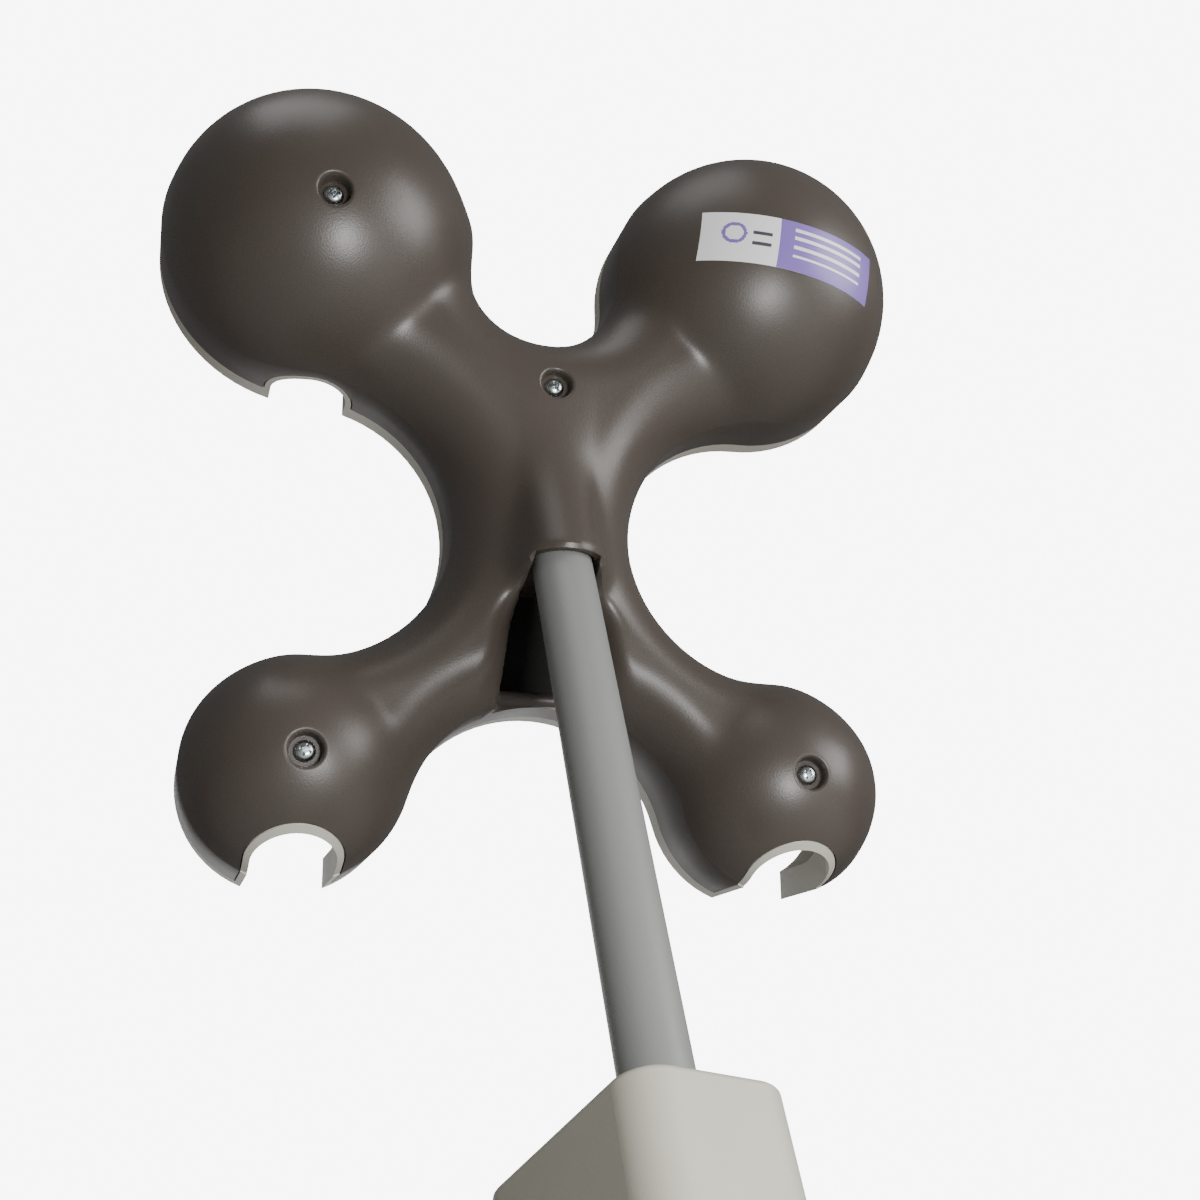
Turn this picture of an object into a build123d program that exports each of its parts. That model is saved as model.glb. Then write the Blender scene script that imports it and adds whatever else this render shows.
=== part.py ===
from build123d import *
import os
from math import asin, cos, degrees, hypot, radians, sin, sqrt

# Four-cup handpiece cradle on a swivelling mast, with the column top that carries it.
# Millimetres, +Z up. The origin is on the mast's axis, on the column top's mounting face.
# The column top lies along X and Y. The head is modelled in its own frame (u across, v up the
# head, w out of its back) and is placed turned about the mast and leaning back on it.

# Head planform: four round cups joined by four hollow crotches
TOP_R = 60.0
LOW_R = 40.0
CUP_U = 90.0
CUP_RISE = 212.0
TOP_WAIST = 176.0
LOW_WAIST = 29.0
SIDE_WAIST = 35.0

# Head section
WALL = 2.5
PARTING = -12.0
FRONT = -20.0
BODY_W = 32.0
TOP_ARM_R = 30.0
LOW_ARM_R = 21.0
WEB_W = 14.0
LOW_LIFT = 8.0
LIP = 3.0
LIP_GAP = 0.3

# Cups and their cable slots
TOP_CUP_R = 50.0
TOP_CUP_W = -8.0
LOW_CUP_R = 30.0
LOW_CUP_W = 2.0
SLOT_R = 14.5
SLOT_RIM = 2.2
SLOT_GAP = 0.5
TOP_SLOT_APEX = 5.0
LOW_SLOT_APEX = 38.0
SLOT_START = 14.5
PAD_R = 14.0
PAD_T = 2.0
PAD_GAP = 0.2

# Shell screws in their wells
WELL_R = 5.6
WELL_DEPTH = 5.5
WELL_WALL = 2.0
SCREW_R = 2.0
SCREW_HEAD_R = 3.75
SCREW_HEAD_H = 2.6
INSERT_R = 3.0
INSERT_L = 7.0
BOSS_R = 5.5
CENTRE_V = 150.0
TOP_WELL_DROP = 9.0

# Mast
MAST_R = 11.0
MAST_WALL = 2.0
LEAN = 28.5
HEAD_TURN = -17.0
ENTRY_V = 90.0
ENTRY_W = 28.7
VISIBLE_MAST = 233.0
MAST_IN_HEAD = 54.0
HOOD_R = 14.8
HOOD_BORE_R = 11.8
HOOD_DROP = 11.0
POCKET_FLOOR = 5.0
POCKET_TOP_HALF = 13.0
POCKET_LOW_HALF = 25.0

# Mast seat inside the head
PLATE_T = 3.0
SEAT_HALF = 20.0
SEAT_LOW_V = 112.0
SEAT_HIGH_V = 146.0
SEAT_W = -16.5
SEAT_TOP = 20.0
SEAT_SCREW_R = 1.75
SMALL_HEAD_R = 3.0
SMALL_HEAD_H = 1.9
STRAP_T = 2.0
STRAP_L = 12.0
STRAP_AT = 38.0
STRAP_SCREW_X = 16.4

# Label on the upper right ball: size, and the way it faces
LABEL_U = 73.0
LABEL_V = 21.0
LABEL_T = 0.25
LABEL_DROP = 5.0
LABEL_ROLL = -7.5

# Column top
COLUMN_H = 110.0
COLUMN_X = 52.0
COLUMN_REAR = 26.0
COLUMN_FRONT = -58.0
COLUMN_WALL = 3.0
COLUMN_CORNER = 12.0
BASE_T = 8.0
BASE_GAP = 0.4
BOLT_X = 30.0
BOLT_Y = 60.0
BOLT_R = 3.3
SCREW_SINK = 2.0

# Swivel
RUN_GAP = 0.06
SOCKET_IN = 13.2
SOCKET_OUT = 16.0
SOCKET_TOP = 104.0
BUSH_FLANGE_R = 16.5
MAST_FOOT = 12.0
STOP_Z = 44.0
STOP_PIN_R = 2.0
STOP_REACH = 15.4
SWING = 45.0
DRAG_Z = 66.0
DRAG_R = 3.0
DRAG_PAD_END = 14.5
DRAG_SCREW_END = 23.0

COLUMN_MID = (COLUMN_REAR + COLUMN_FRONT) / 2
COLUMN_Y = COLUMN_REAR - COLUMN_FRONT
HEAD_Z = COLUMN_H + VISIBLE_MAST


def crotch_radius(ball_r, waist_gap):
    """Radius of the circle between two equal balls that passes at waist_gap from their line."""
    return (CUP_U * CUP_U + waist_gap * waist_gap - ball_r * ball_r) / (2 * (waist_gap + ball_r))


def side_crotch():
    """Centre and radius of the circle that touches the upper and the lower ball at one side."""
    radius = CUP_RISE / 4
    inset = CUP_U - SIDE_WAIST
    for _ in range(60):
        v = (CUP_RISE**2 - (TOP_R**2 - LOW_R**2) - 2 * radius * (TOP_R - LOW_R)) / (2 * CUP_RISE)
        radius = (v * v + inset * inset - LOW_R * LOW_R) / (2 * (LOW_R + inset))
    return SIDE_WAIST + radius, v, radius


def crotches():
    """The four crotch circles (u, v, radius): top, left, bottom, right."""
    top_r = crotch_radius(TOP_R, CUP_RISE - TOP_WAIST)
    low_r = crotch_radius(LOW_R, LOW_WAIST)
    side_u, side_v, side_r = side_crotch()
    return [
        (0.0, TOP_WAIST + top_r, top_r),
        (-side_u, side_v, side_r),
        (0.0, LOW_WAIST - low_r, low_r),
        (side_u, side_v, side_r),
    ]


def balls():
    """The four cup circles (u, v, radius), in the order that the crotches follow."""
    return [
        (CUP_U, CUP_RISE, TOP_R),
        (-CUP_U, CUP_RISE, TOP_R),
        (-CUP_U, 0.0, LOW_R),
        (CUP_U, 0.0, LOW_R),
    ]


def toward(start, end, distance):
    """The point at a distance from start on the way to end."""
    run = hypot(end[0] - start[0], end[1] - start[1])
    return (
        start[0] + (end[0] - start[0]) * distance / run,
        start[1] + (end[1] - start[1]) * distance / run,
    )


def planform(inset=0.0):
    """The head's outline as a face, moved inwards by inset."""
    ring = balls()
    gaps = crotches()
    heart = (0.0, CUP_RISE / 2)
    arcs = []
    for i, ball in enumerate(ring):
        before = gaps[i - 1]
        after = gaps[i]
        following = ring[(i + 1) % len(ring)]
        reach = ball[2] - inset
        start = toward(ball, before, reach)
        end = toward(ball, after, reach)
        middle = ((start[0] + end[0]) / 2, (start[1] + end[1]) / 2)
        arcs.append(ThreePointArc(start, toward(ball, middle, -reach), end))
        landing = toward(following, after, following[2] - inset)
        arcs.append(ThreePointArc(end, toward(after, heart, after[2] + inset), landing))
    return make_face(arcs)


def slab(face, low, high):
    """A planform face pulled from one height to another."""
    return extrude(Pos(0, 0, low) * face, high - low, dir=(0, 0, 1))


def post(u, v, radius, low, high):
    """A round post along w."""
    return Pos(u, v, (low + high) / 2) * Cylinder(radius, high - low)


def ball_lift(v):
    """Height of a ball's centre above the head's own plane."""
    return 0.0 if v > CUP_RISE / 2 else LOW_LIFT


def mast_line():
    """Location on the mast's axis in the head: local Z up the mast, local Y out of the back."""
    return Pos(0, ENTRY_V, ENTRY_W) * Rot(-(90 + LEAN), 0, 0) * Rot(0, 0, 180)


def along_mast(radius, low, high):
    """A round bar on the mast's axis in the head, from low to high above the entry."""
    return mast_line() * Pos(0, 0, (low + high) / 2) * Cylinder(radius, high - low)


def arm(start, end, radius):
    """A round arm between two points of the head, with a ball at its inner end."""
    line = Vector(*end) - Vector(*start)
    middle = Plane(origin=Vector(*start) + line / 2, z_dir=line)
    return middle * Cylinder(radius, line.length) + Pos(*start) * Sphere(radius)


def dome_body(inset, base):
    """The back's outer form from base upwards, moved inwards by inset."""
    arms = Pos(0, CENTRE_V - 20, 0) * Sphere(BODY_W - inset)
    for u, v, r in balls():
        if v > 0:
            arms += arm((0, CENTRE_V - 14, 0), (u, v, 0), TOP_ARM_R - inset)
        else:
            arms += arm((0, ENTRY_V, LOW_LIFT), (u, v, LOW_LIFT), LOW_ARM_R - inset)
    body = slab(planform(inset), base, WEB_W - inset)
    body += arms & slab(planform(inset), base, 2 * TOP_R)
    for u, v, r in balls():
        lift = ball_lift(v)
        body += post(u, v, r - inset, base, lift)
        body += Pos(u, v, lift) * Sphere(r - inset) - post(u, v, r + 1, lift - 2 * r, base)
    return body


def pocket(spread):
    """The open throat under the hood, where the mast comes out between the lower arms."""
    lean_half = POCKET_TOP_HALF + spread
    foot_half = POCKET_LOW_HALF + spread
    top_v = ENTRY_V - HOOD_DROP + spread
    low_v = -LOW_R
    outline = make_face(
        Polyline(
            (-lean_half, top_v), (lean_half, top_v), (foot_half, low_v), (-foot_half, low_v), close=True
        )
    )
    return slab(outline, POCKET_FLOOR - spread, 2 * TOP_R)


def wells():
    """Screw wells: (u, v, floor height), one on each ball and one in the middle."""
    places = [(0.0, CENTRE_V, BODY_W - WELL_DEPTH)]
    for u, v, r in balls():
        drop = TOP_WELL_DROP if r == TOP_R else 0.0
        places.append((u, v - drop, ball_lift(v) + sqrt(r * r - drop * drop) - WELL_DEPTH))
    return places


def slot_form(u, v, apex, grow):
    """A cable slot below a cup: a round-topped channel, open to the front."""
    r = SLOT_R + grow
    centre = apex - SLOT_R
    length = TOP_R
    mouth = FRONT - 10
    middle = v - SLOT_START + grow - length / 2
    round_top = Pos(u, middle, centre) * Rot(90, 0, 0) * Cylinder(r, length)
    straight = Pos(u, middle, (centre + mouth) / 2) * Box(2 * r, length, centre - mouth)
    return round_top + straight


def slots():
    """Slots: (u, v, apex). The upper right cup has none."""
    return [
        (-CUP_U, CUP_RISE, TOP_SLOT_APEX),
        (-CUP_U, 0.0, LOW_SLOT_APEX),
        (CUP_U, 0.0, LOW_SLOT_APEX),
    ]


def make_back_shell():
    """Dark rear shell: domes, arms, hood over the mast, screw wells and slot cut-outs."""
    outer = dome_body(0, PARTING) + along_mast(HOOD_R, -HOOD_DROP, MAST_IN_HEAD)
    outer -= pocket(0)
    inner = dome_body(WALL, PARTING) - pocket(WALL)
    inner += along_mast(HOOD_BORE_R, -HOOD_DROP - WALL, MAST_IN_HEAD)
    shell = outer - inner
    for u, v, floor in wells():
        column = post(u, v, WELL_R + WELL_WALL, floor - WALL, floor + WELL_DEPTH) & outer
        shell += column
        shell -= post(u, v, WELL_R, floor, floor + 2 * WELL_DEPTH)
        shell -= post(u, v, SCREW_R + 0.2, floor - 2 * WALL, floor + 1)
    shell -= along_mast(HOOD_BORE_R, -3 * HOOD_DROP, MAST_IN_HEAD)
    for u, v, apex in slots():
        shell -= slot_form(u, v, apex, SLOT_RIM + SLOT_GAP)
    return shell


def cups():
    """Cups: (u, v, radius, centre height)."""
    return [
        (u, v, TOP_CUP_R if r == TOP_R else LOW_CUP_R, TOP_CUP_W if r == TOP_R else LOW_CUP_W)
        for u, v, r in balls()
    ]


def cup_form(u, v, radius, centre):
    """A cup's hollow: a ball that opens straight to the front."""
    return Pos(u, v, centre) * Sphere(radius) + post(u, v, radius, FRONT - 10, centre)


def make_front_shell(envelope):
    """Pale front shell: rim, face, four cups, slot linings, bosses for the screws."""
    shell = slab(planform(), FRONT, PARTING) - slab(planform(WALL), FRONT + WALL, PARTING)
    lip = slab(planform(WALL + LIP_GAP), PARTING - LIP, PARTING + LIP)
    lip -= slab(planform(WALL + LIP_GAP + 1.8), PARTING - LIP, PARTING + LIP)
    shell += lip
    for u, v, radius, centre in cups():
        bowl = Pos(u, v, centre) * Sphere(radius + WALL) + post(u, v, radius + WALL, FRONT, centre)
        shell += bowl - post(u, v, 2 * TOP_R, FRONT - TOP_R, FRONT)
    for u, v, apex in slots():
        shell += slot_form(u, v, apex, SLOT_RIM) & envelope
    for u, v, floor in wells():
        foot = FRONT if u == 0 else floor - WALL - INSERT_L - BOSS_R
        shell += post(u, v, BOSS_R, foot, floor - WALL)
    for u, v in seat_screws():
        shell += post(u, v, BOSS_R - 1.5, FRONT, SEAT_W)
    for u, v, radius, centre in cups():
        shell -= cup_form(u, v, radius, centre)
    for u, v, apex in slots():
        shell -= slot_form(u, v, apex, 0)
    for u, v, floor in wells():
        shell -= post(u, v, INSERT_R, floor - WALL - INSERT_L, floor)
    for u, v in seat_screws():
        shell -= post(u, v, SEAT_SCREW_R, FRONT + 1, SEAT_W + 1)
    return shell


def pan_screw(length, shank_r=SCREW_R, head_r=SCREW_HEAD_R, head_h=SCREW_HEAD_H):
    """A pan-head cross-recess screw: seat at Z 0, head above, shank below."""
    head = Cylinder(head_r, head_h, align=(Align.CENTER, Align.CENTER, Align.MIN))
    head = fillet(head.edges().group_by(Axis.Z)[-1], head_h * 0.6)
    shank = Pos(0, 0, -length / 2) * Cylinder(shank_r, length)
    recess = Pos(0, 0, head_h) * (
        Box(head_r * 1.1, head_r * 0.25, head_h) + Box(head_r * 0.25, head_r * 1.1, head_h)
    )
    return head + shank - recess


def make_shell_screws():
    """The five screws that hold the back shell on, one in each well."""
    return [Pos(u, v, floor) * pan_screw(WALL + INSERT_L - 1) for u, v, floor in wells()]


def make_boss_inserts():
    """Brass threaded inserts in the front shell's bosses."""
    inserts = []
    for u, v, floor in wells():
        low = floor - WALL - INSERT_L
        inserts.append(post(u, v, INSERT_R, low, floor - WALL) - post(u, v, SCREW_R, low - 1, floor))
    return inserts


def make_rest_pads():
    """Soft discs in the cups' bottoms, where the handpieces rest."""
    pads = []
    for u, v, radius, centre in cups():
        bottom = centre + sqrt(radius**2 - PAD_R**2)
        pads.append(post(u, v, PAD_R - PAD_GAP, bottom - PAD_T, bottom))
    return pads


def make_service_label():
    """Thin wrapped label on the upper right ball."""
    skin = Sphere(TOP_R + LABEL_T + 0.02) - Sphere(TOP_R + 0.02)
    window = Pos(0, 0, TOP_R) * Box(LABEL_U, LABEL_V, TOP_R)
    patch = skin & window
    return Pos(CUP_U, CUP_RISE, 0) * Rot(LABEL_DROP, 0, 0) * Rot(0, 0, LABEL_ROLL) * patch


def seat_screws():
    """Where the mast seat is screwed to the front shell: (u, v)."""
    rows = (SEAT_LOW_V + 5, SEAT_HIGH_V - 5)
    return [(side * (SEAT_HALF + 6), v) for v in rows for side in (-1, 1)]


def make_seat_plate():
    """Steel plate that spreads the mast's load over the front shell."""
    mid_v = (SEAT_LOW_V + SEAT_HIGH_V) / 2
    plate = Pos(0, mid_v, SEAT_W + PLATE_T / 2) * Box(
        2 * SEAT_HALF + 22, SEAT_HIGH_V - SEAT_LOW_V, PLATE_T
    )
    plate = fillet(plate.edges().filter_by(Axis.Z), 4)
    plate -= post(0, CENTRE_V, BOSS_R + 0.5, FRONT, BODY_W)
    for u, v in seat_screws():
        plate -= post(u, v, SEAT_SCREW_R + 0.2, FRONT, BODY_W)
    return plate


def make_mast_seat():
    """Die-cast block with a sloping bore that the mast stands in."""
    low = SEAT_W + PLATE_T
    mid_v = (SEAT_LOW_V + SEAT_HIGH_V) / 2
    block = Pos(0, mid_v, (low + SEAT_TOP) / 2) * Box(
        2 * SEAT_HALF, SEAT_HIGH_V - SEAT_LOW_V, SEAT_TOP - low
    )
    block = fillet(block.edges().filter_by(Axis.Z), 3)
    block -= along_mast(MAST_R, -TOP_R, MAST_IN_HEAD + 0.5)
    block -= mast_line() * Pos(0, TOP_R, 0) * Box(4 * TOP_R, 2 * TOP_R, 4 * TOP_R)
    block -= post(0, CENTRE_V, BOSS_R + 0.5, FRONT, BODY_W)
    for place in strap_screws():
        block -= place * Pos(0, 0, -5) * Cylinder(SEAT_SCREW_R, 12)
    return block


def strap_screws():
    """Seats of the two strap screws, with Z out of the head's back."""
    return [
        mast_line() * Pos(side * STRAP_SCREW_X, STRAP_T, STRAP_AT) * Rot(-90, 0, 0) for side in (-1, 1)
    ]


def make_mast_strap():
    """Bent steel strap over the mast, screwed down at both sides."""
    ring = along_mast(MAST_R + STRAP_T, STRAP_AT - STRAP_L / 2, STRAP_AT + STRAP_L / 2)
    ears = mast_line() * Pos(0, STRAP_T / 2, STRAP_AT) * Box(2 * SEAT_HALF, STRAP_T, STRAP_L)
    under = mast_line() * Pos(0, -TOP_R / 2, STRAP_AT) * Box(TOP_R, TOP_R, TOP_R)
    strap = ring + ears - under
    strap -= along_mast(MAST_R, -TOP_R, 2 * TOP_R)
    for place in strap_screws():
        strap -= place * Cylinder(SEAT_SCREW_R + 0.2, 3 * STRAP_T)
    return strap


def make_seat_screws():
    """Four screws from the seat plate into the front shell."""
    return [
        Pos(u, v, SEAT_W + PLATE_T) * pan_screw(PLATE_T + 1.5, SEAT_SCREW_R, SMALL_HEAD_R, SMALL_HEAD_H)
        for u, v in seat_screws()
    ]


def make_strap_screws():
    """Two screws that pull the strap onto the mast."""
    return [
        place * pan_screw(STRAP_T + 6, SEAT_SCREW_R, SMALL_HEAD_R, SMALL_HEAD_H)
        for place in strap_screws()
    ]


def upright(radius, low, high):
    """A round bar on the mast's axis in the row's frame."""
    return Pos(0, 0, (low + high) / 2) * Cylinder(radius, high - low)


def make_mast_tube():
    """Painted steel tube, from the swivel's foot to the seat in the head."""
    top = HEAD_Z + MAST_IN_HEAD
    tube = upright(MAST_R, MAST_FOOT, top) - upright(MAST_R - MAST_WALL, MAST_FOOT - 1, top + 1)
    hole = Pos(0, 0, STOP_Z) * Rot(0, 90, 0) * Cylinder(STOP_PIN_R, 4 * MAST_R)
    return tube - hole


def make_mast_plug():
    """Plastic plug in the mast's upper end."""
    top = HEAD_Z + MAST_IN_HEAD
    inside = upright(MAST_R - MAST_WALL, top - 10, top)
    return inside - upright(MAST_R - 2 * MAST_WALL, top - 11, top - 2)


def make_stop_pin():
    """Cross pin in the mast: it runs in the socket's windows and ends the swing."""
    return Pos(0, 0, STOP_Z) * Rot(0, 90, 0) * Cylinder(STOP_PIN_R, 2 * STOP_REACH)


def sector(radius, half_angle, low, high):
    """A wedge about the mast's axis, centred on +X."""
    reach = radius / cos(radians(half_angle))
    rise = reach * sin(radians(half_angle))
    outline = make_face(Polyline((0, 0), (radius, -rise), (radius, rise), close=True))
    return slab(outline, low, high)


def make_mast_socket():
    """Steel tube welded on the base plate, with two windows for the stop pin."""
    socket = upright(SOCKET_OUT, BASE_T, SOCKET_TOP) - upright(SOCKET_IN, 0, COLUMN_H)
    pin_half = degrees(asin((STOP_PIN_R + 0.3) / SOCKET_IN))
    window_half = STOP_PIN_R + 0.3
    for side in (0, 180):
        window = sector(SOCKET_OUT + 4, SWING + pin_half, STOP_Z - window_half, STOP_Z + window_half)
        socket -= Rot(0, 0, side) * window
    socket -= Pos(0, SOCKET_OUT, DRAG_Z) * Rot(90, 0, 0) * Cylinder(DRAG_R, 2 * (SOCKET_OUT - SOCKET_IN) + 4)
    return socket


def make_upper_bush():
    """Flanged plastic bush that guides the mast at the column's top."""
    bush = upright(SOCKET_IN - 0.02, SOCKET_TOP - 20, COLUMN_H)
    bush += upright(BUSH_FLANGE_R, COLUMN_H, COLUMN_H + 1.5)
    bush = fillet(bush.edges().group_by(Axis.Z)[-1], 0.8)
    return bush - upright(MAST_R + RUN_GAP, 0, COLUMN_H + 5)


def make_lower_bush():
    """Plastic bush that guides the mast's foot."""
    bush = upright(SOCKET_IN - 0.02, MAST_FOOT, MAST_FOOT + 20)
    return bush - upright(MAST_R + RUN_GAP, 0, COLUMN_H)


def make_thrust_washer():
    """Plastic disc that carries the mast's weight on the base plate."""
    return upright(SOCKET_IN - 0.2, BASE_T, MAST_FOOT)


def make_drag_pad():
    """Nylon button that presses on the mast, so that it stays where it is turned."""
    length = DRAG_PAD_END - MAST_R - RUN_GAP
    start = MAST_R + RUN_GAP
    pad = Pos(0, start + length / 2, DRAG_Z) * Rot(90, 0, 0) * Cylinder(DRAG_R - 0.1, length)
    return pad


def make_drag_screw():
    """Set screw behind the drag pad, with a hexagon socket."""
    length = DRAG_SCREW_END - DRAG_PAD_END
    screw = Pos(0, DRAG_PAD_END + length / 2, DRAG_Z) * Rot(90, 0, 0) * Cylinder(DRAG_R, length)
    key = extrude(RegularPolygon(1.5, 6), 3, dir=(0, 0, 1))
    return screw - Pos(0, DRAG_SCREW_END, DRAG_Z) * Rot(90, 0, 0) * key


def make_drag_nut():
    """Lock nut on the set screw."""
    nut = extrude(RegularPolygon(5.5, 6), 3, dir=(0, 0, 1)) - Cylinder(DRAG_R, 20)
    return Pos(0, SOCKET_OUT + 3.2, DRAG_Z) * Rot(90, 0, 0) * nut


def column_block(inset, low, high):
    """The column's rounded rectangular form."""
    block = Pos(0, COLUMN_MID, (low + high) / 2) * Box(
        COLUMN_X - 2 * inset, COLUMN_Y - 2 * inset, high - low
    )
    return fillet(block.edges().filter_by(Axis.Z), COLUMN_CORNER - inset)


def side_holes():
    """Axes of the housing's side screws: locations with Z pointing outwards."""
    rows = (COLUMN_REAR - 18, COLUMN_FRONT + 18)
    return [
        Pos(side * COLUMN_X / 2, y, BASE_T / 2) * Rot(0, side * 90, 0) for y in rows for side in (-1, 1)
    ]


def make_column_housing():
    """Pale moulded housing: four walls and a top, open below."""
    housing = column_block(0, 0, COLUMN_H)
    housing = fillet(housing.edges().group_by(Axis.Z)[-1], 2)
    housing -= column_block(COLUMN_WALL, -1, COLUMN_H - COLUMN_WALL)
    housing -= upright(SOCKET_IN + 0.2, 0, COLUMN_H + 1)
    for place in side_holes():
        housing -= place * Cylinder(SEAT_SCREW_R + 0.2, 4 * COLUMN_WALL)
        housing -= place * Pos(0, 0, 2) * Cylinder(SMALL_HEAD_R + 0.4, 2 * SCREW_SINK + 4)
    return housing


def make_base_plate():
    """Steel plate inside the housing's foot, drilled for the console's bolts."""
    plate = column_block(COLUMN_WALL + BASE_GAP, 0, BASE_T)
    for x in (-BOLT_X / 2, BOLT_X / 2):
        for y in (COLUMN_MID - BOLT_Y / 2, COLUMN_MID + BOLT_Y / 2):
            plate -= Pos(x, y, BASE_T / 2) * Cylinder(BOLT_R, 2 * BASE_T)
    for place in side_holes():
        plate -= place * Pos(0, 0, -8) * Cylinder(SEAT_SCREW_R, 14)
    return plate


def make_housing_screws():
    """Four side screws that hold the housing to the base plate."""
    return [
        place * Pos(0, 0, -SCREW_SINK) * pan_screw(8, SEAT_SCREW_R, SMALL_HEAD_R, SMALL_HEAD_H)
        for place in side_holes()
    ]


def head_place():
    """Location of the head's frame in the row's frame."""
    lean_back = Plane(
        origin=(0, 0, 0),
        x_dir=(-1, 0, 0),
        z_dir=(0, cos(radians(LEAN)), -sin(radians(LEAN))),
    )
    return Pos(0, 0, HEAD_Z) * Rot(0, 0, HEAD_TURN) * lean_back.location * Pos(0, -ENTRY_V, -ENTRY_W)


def write(name, shapes, place=Location()):
    """Write one node: one solid, or a group of identical ones."""
    group = shapes if isinstance(shapes, list) else [shapes]
    solids = [solid for shape in group for solid in shape.solids()]
    moved = [place * solid for solid in solids]
    node = moved[0] if len(moved) == 1 else Compound(children=moved)
    export_step(node, "parts/" + name + ".step")


def main():
    """Make every node and write it."""
    os.makedirs("parts", exist_ok=True)
    head = head_place()
    turned = Rot(0, 0, HEAD_TURN)
    envelope = dome_body(0, FRONT)
    write("back_shell", make_back_shell(), head)
    write("front_shell", make_front_shell(envelope), head)
    write("shell_screws", make_shell_screws(), head)
    write("boss_inserts", make_boss_inserts(), head)
    write("rest_pads", make_rest_pads(), head)
    write("service_label", make_service_label(), head)
    write("seat_plate", make_seat_plate(), head)
    write("mast_seat", make_mast_seat(), head)
    write("mast_strap", make_mast_strap(), head)
    write("seat_screws", make_seat_screws(), head)
    write("strap_screws", make_strap_screws(), head)
    write("mast_tube", make_mast_tube(), turned)
    write("mast_plug", make_mast_plug(), turned)
    write("stop_pin", make_stop_pin(), turned)
    write("mast_socket", make_mast_socket())
    write("upper_bush", make_upper_bush())
    write("lower_bush", make_lower_bush())
    write("thrust_washer", make_thrust_washer())
    write("drag_pad", make_drag_pad())
    write("drag_screw", make_drag_screw())
    write("drag_nut", make_drag_nut())
    write("column_housing", make_column_housing())
    write("base_plate", make_base_plate())
    write("housing_screws", make_housing_screws())


main()
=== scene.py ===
from math import atan2, ceil, cos, hypot, pi, radians, sin, sqrt, tau

import bmesh
import bpy
from mathutils import Matrix, Vector
from mathutils.geometry import delaunay_2d_cdt


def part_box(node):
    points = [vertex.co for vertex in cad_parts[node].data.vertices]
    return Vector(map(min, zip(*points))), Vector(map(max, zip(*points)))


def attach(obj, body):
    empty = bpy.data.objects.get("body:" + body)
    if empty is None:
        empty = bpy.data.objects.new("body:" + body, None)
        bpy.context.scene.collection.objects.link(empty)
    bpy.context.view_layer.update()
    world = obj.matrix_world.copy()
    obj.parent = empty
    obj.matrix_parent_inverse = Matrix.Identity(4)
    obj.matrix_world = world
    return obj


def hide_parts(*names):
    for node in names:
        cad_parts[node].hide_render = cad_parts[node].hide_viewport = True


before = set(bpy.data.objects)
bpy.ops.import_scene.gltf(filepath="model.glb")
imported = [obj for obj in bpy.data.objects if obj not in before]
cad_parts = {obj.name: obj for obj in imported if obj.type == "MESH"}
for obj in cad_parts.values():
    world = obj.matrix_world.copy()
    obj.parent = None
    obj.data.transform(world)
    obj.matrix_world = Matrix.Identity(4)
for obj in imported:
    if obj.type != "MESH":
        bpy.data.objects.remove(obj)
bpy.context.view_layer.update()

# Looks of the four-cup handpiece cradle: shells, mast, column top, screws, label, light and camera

MM = 0.001

# Head planform and section, in the head's own millimetres (u across, v up, w out of the back)
TOP_R = 60.0
LOW_R = 40.0
CUP_U = 90.0
CUP_RISE = 212.0
TOP_WAIST = 176.0
LOW_WAIST = 29.0
SIDE_WAIST = 35.0
WALL = 2.5
PARTING = -12.0
SKIRT_SHARE = 0.35
LOW_LIFT = 8.0
LIFT_END_V = 110.0
ARM_LOW_W = 26.0
ARM_TOP_W = 31.0
ARM_LOW_ROUND = 20.0
ARM_TOP_ROUND = 28.0
END_FALL = 2.0
BLEND = 300.0
SOFTEST = 150.0
INSET_PART = 0.7

# Screw wells: their places, and radius and depth from the soft rim to the end of the screw hole
CENTRE_V = 150.0
TOP_WELL_DROP = 9.0
WELL_RIM = 7.6
WELL_DEPTH = 5.5
WELL_LEVEL = 3.0
WELL_SECTION = [
    (7.15, 0.02),
    (6.75, 0.14),
    (6.4, 0.38),
    (6.12, 0.78),
    (5.95, 1.3),
    (5.75, 3.2),
    (5.6, WELL_DEPTH - 0.4),
    (5.3, WELL_DEPTH),
    (2.3, WELL_DEPTH),
    (2.3, WELL_DEPTH + WALL),
]
WELL_KEEP_R = 8.0
WELL_KEEP_RISE = 9.0

# Cable slots through three of the balls
SLOT_R = 14.5
SLOT_GROW = 2.7
SLOT_START = 14.5
SLOT_REACH = TOP_R + 5
SLOT_FOOT = -30.0
TOP_SLOT_APEX = 5.0
LOW_SLOT_APEX = 38.0

# Mast, hood and throat
MAST_R = 11.0
MAST_WALL = 2.0
MAST_EDGE = 0.4
LEAN = radians(28.5)
HEAD_TURN = radians(-17.0)
ENTRY_V = 90.0
ENTRY_W = 28.7
HEAD_Z = 343.0
HOOD_R = 14.8
HOOD_BORE_R = 11.9
HOOD_BLEND = 11.0
HOOD_SOFTEST = 40.0
HOOD_END_SLOPE = 1.3
BORE_LOW = -60.0
BORE_HIGH = 62.0
THROAT_TOP_V = 76.0
HOOD_END_V = THROAT_TOP_V - 1
THROAT_TOP_HALF = 12.0
THROAT_LOW_HALF = 18.0
THROAT_FLOOR = -9.0
THROAT_NEAR = 0.5
LIP_TOP = 5.0
LIP_INNER_V = 35.0
LIP_R = 3.0

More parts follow.
